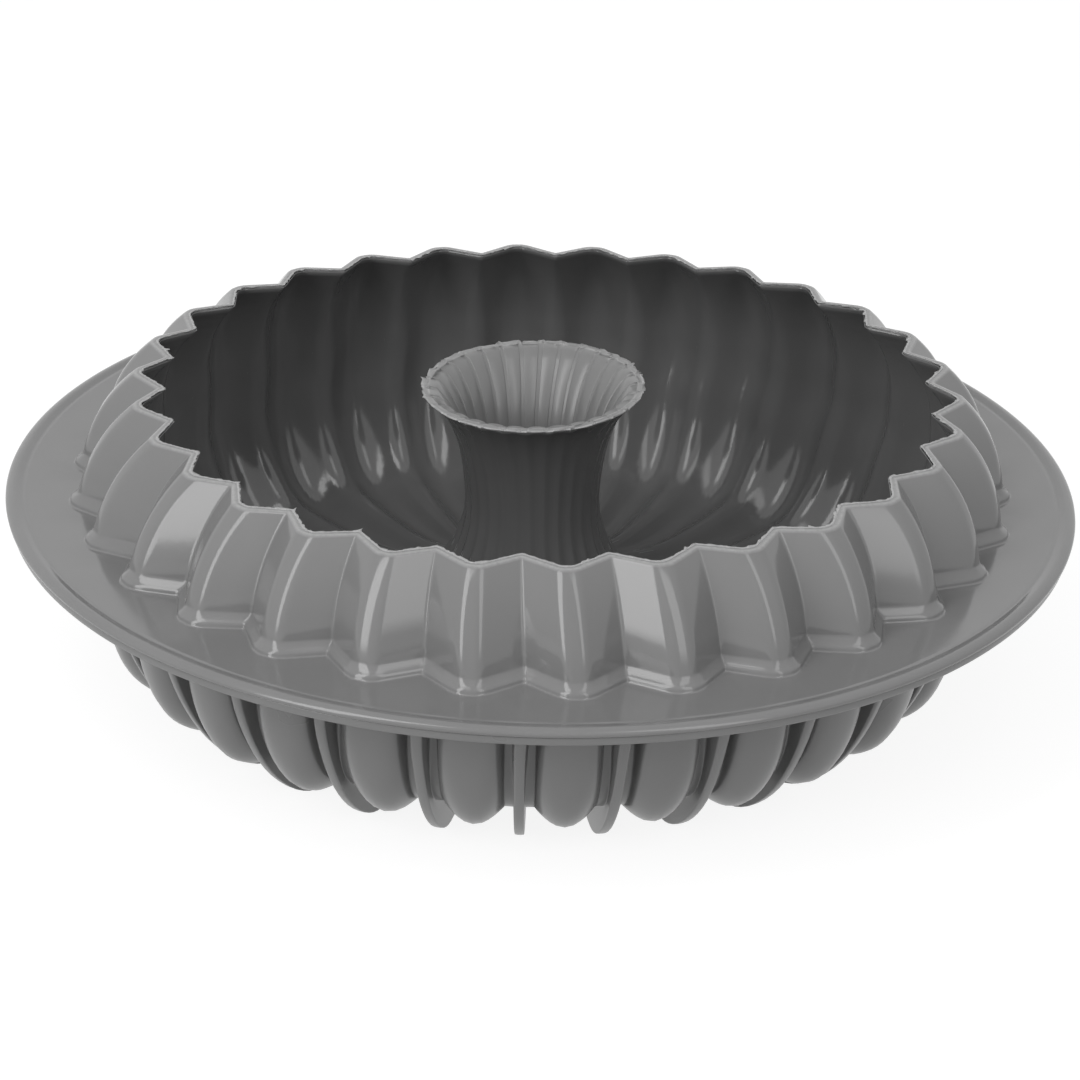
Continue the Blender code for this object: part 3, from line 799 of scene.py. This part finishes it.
def belly_rings(sizes):
    """All rings of the lower grey half, once round its section, and how much pale cut colour each takes: the
    tube's cut top, and most on its edges as a painted highlight.
    """
    # The lip and the flange's underside
    level = sizes.parting - sizes.gap / 2
    underside = level - sizes.lower_sheet
    lip = sizes.flange_radius - sizes.lip_inset
    heel = lip - sizes.lip_width
    brink = sizes.parting - sizes.seam / 2
    soft = 0.0003
    bottom = level - sizes.lip_depth
    flange = wire_groove(sizes, -1)[::-1] + [
        (lip - 0.0010, level), (lip - 0.0007, brink), (lip - 0.0003, brink), (lip - 0.0001, brink - 0.0001),
        (lip, brink - 0.0004),
        (lip - 0.0002, bottom + 0.0005), (lip - 0.0003, bottom + 0.0001), (lip - 0.0007, bottom),
        (heel + soft, bottom), (heel, bottom + soft), (heel, underside - soft), (heel - soft, underside),
    ]
    flange = np.array(flange)
    outer_flange = lobed_rings(sizes, flange, flange, flange, sizes.fin_top, roundness=1.0)

    # The lobes, the slope and the tube's bore
    trough_rows = 22
    stations = stations_through((1, 2, 3, 4), (trough_rows, 10, 11))
    ridge, crease = cavity_face(sizes, stations, sizes.trough_fullness)
    wall = np.interp(stations, [3.0, 4.0], [sizes.grey_wall, sizes.tube_wall])
    outer_ridge, outer_crease = offset(ridge, -wall[:, None]), offset(crease, -wall[:, None])
    outer_ridge[0] = (ridge[0, 0] + sizes.grey_wall, underside - soft)
    outer_crease[0] = (crease[0, 0] + sizes.grey_wall, underside - soft)

    # The fins' edge: a rounded quarter, the level foot, and the way back into the slope
    fin = outer_crease.copy()
    turned = int(0.9 * trough_rows)
    fin[:turned + 1] = rounded_quarter((sizes.foot_outer, underside), sizes.fin_radius - sizes.foot_outer,
                                       underside, sizes.fin_fullness, np.linspace(0.0, 90.0, turned + 1))
    flat_rows = trough_rows - turned
    way = np.linspace(0.0, 1.0, flat_rows + 1)[1:]
    fin[turned + 1:trough_rows + 1, 0] = sizes.foot_outer + (sizes.foot_inner - sizes.foot_outer) * way
    fin[turned + 1:trough_rows + 1, 1] = 0.0
    merge = 3
    foot = np.array([sizes.foot_inner, 0.0])
    way = np.linspace(0.0, 1.0, merge + 1)[1:, None]
    fin[trough_rows + 1:trough_rows + merge + 1] = foot + (outer_crease[trough_rows + merge] - foot) * way
    fin[0, 1] = underside - soft
    thickness = np.interp(fin[:, 1], [0.0, underside], [sizes.fin_foot, sizes.fin_top])
    softness = smooth_step((stations - 1.2) / 0.7) + smooth_step((stations - 2.4) / 0.6)
    below = lobed_rings(sizes, outer_ridge, outer_crease, fin, thickness, softness)
    lift = (0.0004, soft)
    join = lobed_rings(sizes, outer_ridge[:1] + lift, outer_crease[:1] + lift, fin[:1] + lift,
                       thickness[:1] + 0.0004)

    # The cut top of the tube
    top = sizes.height - 0.0003
    below[-1, :, 2] = top - 0.0002
    bore, outer = outer_ridge[-1, 0], ridge[-1, 0] + sizes.gap + sizes.lining_wall + 0.0003
    cap_line = np.array([(bore + 0.0001, top), (bore + 0.0005, top), (0.5 * (bore + outer), top),
                         (outer - 0.0005, top), (outer - 0.0001, top), (outer, top - 0.0003),
                         (outer - 0.0003, top - 0.0005), (ridge[-1, 0] + 0.0002, top - 0.0005)])
    cap = lobed_rings(sizes, cap_line, cap_line, cap_line, sizes.fin_foot)

    # The side that backs the lining
    stations = stations_through((4, 2, 1), (8, 8))
    ridge, crease = cavity_face(sizes, stations, sizes.lining_fullness)
    ridge, crease = offset(ridge, 0.0004), offset(crease, 0.0004)
    back = lobed_rings(sizes, ridge, crease, crease, sizes.fin_foot, section=cavity_section(stations))
    back[0, :, 2] = top - 0.0008
    back[-1, :, 2] = level
    rings = np.concatenate([outer_flange, join, below, cap, back])
    start = len(outer_flange) + 1 + len(below)
    # Pale cut colour on the tube's cut top, strongest on the rows at its two edges as a painted highlight
    # there.
    cut_share_and_edge_highlight = np.zeros(len(rings))
    cut_share_and_edge_highlight[start - 1:start + 8] = (0.2, 0.9, 0.20, 0.12, 0.25, 1.0, 1.0, 0.6, 0.0)
    rings = torn(rings, np.array([start + 3, start + 4, start + 5]), 0.00062, 0.00050, 8, 3.5)
    rings = torn(rings, np.array([start, start + 1]), 0.00062, 0.00050, 9, 3.5)
    return rings, cut_share_and_edge_highlight


def lining_rings(sizes):
    """All rings of the dark lining: its back against the grey wall, then its face to the cavity."""
    stops = (0, 1, 2, 3, 4)
    back = cavity_rings(sizes, stations_through(stops, (5, 8, 8, 6)), sizes.gap)
    shift = sizes.gap + sizes.lining_wall
    face = cavity_rings(sizes, stations_through(stops, (13, 23, 15, 12)), shift)[::-1]
    rim_level, tube_level = sizes.height - 0.0004, sizes.height - 0.0010
    for rings, rim_row, tube_row in ((back, 0, -1), (face, -1, 0)):
        rings[..., 2] = np.minimum(rings[..., 2], rim_level)
        rings[rim_row, :, 2] = rim_level
        rings[tube_row, :, 2] = tube_level
    return np.concatenate([back, face])


class BUNDT_OT_collar(bpy.types.Operator):
    """Build the fluted collar with its foot step, flange and rounded edge."""

    bl_idname = "bundt.collar"
    bl_label = "Collar and flange"

    def execute(self, context):
        """Make the piece from its rings."""
        sizes, colours = context.scene.mould_sizes, context.scene.mould_colours
        # cut is each ring's share of the pale cut colour, which on the cut edges is a painted highlight.
        points, cut = collar_rings(sizes)
        finish = grey_silicone(colours, "grey_silicone_finish", 0.11)
        place(skin(sizes, "grey_collar", points, cut), finish, "grey_silicone", "collar_shell")
        burr = burr_rings(sizes)
        place(skin(sizes, "rim_burr", burr, np.ones(len(burr))), finish, "grey_silicone")
        return {"FINISHED"}


class BUNDT_OT_belly(bpy.types.Operator):
    """Build the belly with its lobes and fins, the slope and the centre tube."""

    bl_idname = "bundt.belly"
    bl_label = "Belly, fins and tube"

    def execute(self, context):
        """Make the piece from its rings."""
        sizes, colours = context.scene.mould_sizes, context.scene.mould_colours
        # cut is each ring's share of the pale cut colour, which on the cut edges is a painted highlight.
        points, cut = belly_rings(sizes)
        place(skin(sizes, "grey_belly", points, cut), grey_silicone(colours, "grey_matte_finish", 0.30),
              "grey_silicone", "belly_shell")
        return {"FINISHED"}


class BUNDT_OT_lining(bpy.types.Operator):
    """Build the dark lining of the cavity."""

    bl_idname = "bundt.lining"
    bl_label = "Dark lining"

    def execute(self, context):
        """Make the piece from its rings."""
        sizes = context.scene.mould_sizes
        points = lining_rings(sizes)
        place(skin(sizes, "dark_lining", points), dark_silicone(context.scene.mould_colours),
              "dark_silicone", "cavity_lining")
        return {"FINISHED"}


class BUNDT_OT_wire(bpy.types.Operator):
    """Build the steel ring inside the flange's edge."""

    bl_idname = "bundt.wire"
    bl_label = "Steel ring"

    def execute(self, context):
        """Make the ring from a round section."""
        sizes = context.scene.mould_sizes
        centre = (sizes.flange_radius - sizes.wire_inset, sizes.parting)
        section = arc(centre, sizes.wire_diameter / 2, 0.0, 330.0, 12)
        place(skin(sizes, "steel_ring", circles(sizes, section)), steel_finish(), "steel_wire", "rim_wire")
        return {"FINISHED"}


# Stage

def combined(tree, operation, *values):
    """What an operation makes of two values, each a number or what another node gives."""
    node = tree.nodes.new("ShaderNodeMath")
    node.operation = operation
    for socket, value in zip(node.inputs, values):
        if isinstance(value, float):
            socket.default_value = value
        else:
            tree.links.new(value, socket)
    return node.outputs[0]


AIM = Vector((0.0, 0.0, 0.05))


def panel_light(name, spot, width, height, watts):
    """A soft rectangular light that faces the mould."""
    data = bpy.data.lights.new(name, "AREA")
    data.shape = "RECTANGLE"
    data.size = width
    data.size_y = height
    data.energy = watts
    light = added(name, data)
    light.location = spot
    light.rotation_euler = (AIM - Vector(spot)).to_track_quat("-Z", "Y").to_euler()
    return light


def soften(light):
    """Let a light's glow fade towards its upper and lower edge, over 15% of its height."""
    light.data.use_nodes = True
    tree = light.data.node_tree
    surface = tree.nodes.new("ShaderNodeNewGeometry")
    parts = tree.nodes.new("ShaderNodeSeparateXYZ")
    tree.links.new(surface.outputs["Parametric"], parts.inputs[0])
    rest = combined(tree, "SUBTRACT", 1.0, parts.outputs["Y"])
    ramp = tree.nodes.new("ShaderNodeMapRange")
    ramp.inputs["From Max"].default_value = 0.15
    tree.links.new(combined(tree, "MINIMUM", parts.outputs["Y"], rest), ramp.inputs["Value"])
    tree.links.new(ramp.outputs["Result"], tree.nodes["Emission"].inputs["Strength"])


def around(azimuth, elevation, distance):
    """The point at that distance from the middle of the mould, in that direction."""
    a, e = math.radians(azimuth), math.radians(elevation)
    return (distance * math.cos(a) * math.cos(e), distance * math.sin(a) * math.cos(e),
            0.04 + distance * math.sin(e))


def make_camera():
    """The camera at the photo's place, turned, tilted and slightly rolled."""
    data = bpy.data.cameras.new("photo_camera")
    data.sensor_width = 36.0
    data.lens = 112.175
    data.clip_start = 0.05
    data.clip_end = 20.0
    camera = added("photo_camera", data)
    turned, tilted, rolled = (Matrix.Rotation(math.radians(angle), 4, axis)
                              for angle, axis in ((1.3, "Z"), (64.46, "X"), (1.632, "Z")))
    camera.matrix_world = Matrix.Translation((0.0194, -0.8497, 0.4444)) @ turned @ tilted @ rolled
    bpy.context.scene.camera = camera


WHITE = (1.0, 1.0, 1.0, 1.0)


def seen_or_lit(tree, lit, seen, surface):
    """Show one shader to the rays of the camera, of gloss and of glass, and another to the rest."""
    path = tree.nodes.new("ShaderNodeLightPath").outputs
    direct = combined(tree, "MAXIMUM", path["Is Camera Ray"], path["Is Glossy Ray"])
    mix = tree.nodes.new("ShaderNodeMixShader")
    tree.links.new(combined(tree, "MAXIMUM", direct, path["Is Transmission Ray"]), mix.inputs["Fac"])
    tree.links.new(lit.outputs[0], mix.inputs[1])
    tree.links.new(seen.outputs[0], mix.inputs[2])
    tree.links.new(mix.outputs[0], surface)


def make_floor(colours):
    """A wide pale floor. It throws light back as it is, and looks white with a faint shadow."""
    mesh = bpy.data.meshes.new("floor")
    half = 6.0
    corners = [(-half, -half, 0), (half, -half, 0), (half, half, 0), (-half, half, 0)]
    mesh.from_pydata(corners, [], [(0, 1, 2, 3)])
    floor = added("floor", mesh)
    material, tree, shader = new_finish("floor_finish")
    nodes, links = tree.nodes, tree.links
    links.new(tinted(tree, noise(tree, 3.0, 2.0), colours.floor, 0.005), shader.inputs["Base Color"])
    shader.inputs["Roughness"].default_value = 0.9
    shader.inputs["Specular IOR Level"].default_value = 0.0

    glow = nodes.new("ShaderNodeEmission")
    glow.inputs["Color"].default_value = WHITE
    glow.inputs["Strength"].default_value = 0.88
    shaded = nodes.new("ShaderNodeBsdfDiffuse")
    shaded.inputs["Color"].default_value = (0.25, 0.25, 0.25, 1.0)
    backdrop = nodes.new("ShaderNodeAddShader")
    links.new(glow.outputs[0], backdrop.inputs[0])
    links.new(shaded.outputs[0], backdrop.inputs[1])
    seen_or_lit(tree, shader, backdrop, nodes["Material Output"].inputs["Surface"])
    floor.data.materials.append(material)


def make_world():
    """An even studio: dimmer for the light it throws, white where the camera or gloss sees it."""
    world = bpy.data.worlds.new("studio")
    bpy.context.scene.world = world
    world.use_nodes = True
    nodes = world.node_tree.nodes
    nodes.clear()
    lit = nodes.new("ShaderNodeBackground")
    lit.inputs["Color"].default_value = WHITE
    lit.inputs["Strength"].default_value = 0.31
    shown = nodes.new("ShaderNodeBackground")
    shown.inputs["Color"].default_value = WHITE
    shown.inputs["Strength"].default_value = 1.0
    out = nodes.new("ShaderNodeOutputWorld")
    seen_or_lit(world.node_tree, lit, shown, out.inputs["Surface"])


class BUNDT_OT_stage(bpy.types.Operator):
    """Set up the floor, the studio light and the camera."""

    bl_idname = "bundt.stage"
    bl_label = "Studio"

    def execute(self, context):
        """Make the stage."""
        colours = context.scene.mould_colours
        make_floor(colours)
        make_world()
        top = panel_light("top_panel", (-0.1, -0.6, 1.2), 1.2, 1.2, 3.0)
        top.visible_glossy = False
        soften(panel_light("left_panel", around(-133, 34, 1.3), 0.44, 2.10, 10.2))
        soften(panel_light("right_panel", around(-52, 37, 1.5), 0.42, 2.10, 4.9))
        make_camera()
        context.scene.view_settings.view_transform = "Standard"
        return {"FINISHED"}


class BUNDT_PT_panel(bpy.types.Panel):
    """Lists the steps that build the mould."""

    bl_idname = "BUNDT_PT_panel"
    bl_label = "Bundt Mould"
    bl_space_type = "VIEW_3D"
    bl_region_type = "UI"
    bl_category = "Bundt Mould"

    def draw(self, context):
        """Show the operators, sizes and colours."""
        layout = self.layout
        for step in STEPS:
            layout.operator(step.bl_idname)
        for group in (context.scene.mould_colours, context.scene.mould_sizes):
            box = layout.box()
            for name in group.__annotations__:
                box.prop(group, name)


STEPS = (BUNDT_OT_collar, BUNDT_OT_belly, BUNDT_OT_lining, BUNDT_OT_wire, BUNDT_OT_stage)
CLASSES = (MouldSizes, MouldColours) + STEPS + (BUNDT_PT_panel,)


def register():
    """Register the classes and hang the values on the scene."""
    for item in CLASSES:
        bpy.utils.register_class(item)
    bpy.types.Scene.mould_sizes = bpy.props.PointerProperty(type=MouldSizes)
    bpy.types.Scene.mould_colours = bpy.props.PointerProperty(type=MouldColours)


def unregister():
    """Undo register."""
    del bpy.types.Scene.mould_colours
    del bpy.types.Scene.mould_sizes
    for item in reversed(CLASSES):
        bpy.utils.unregister_class(item)


def main():
    """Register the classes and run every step."""
    register()
    for step in STEPS:
        getattr(bpy.ops.bundt, step.bl_idname.split(".")[1])()


if __name__ == "__main__":
    main()
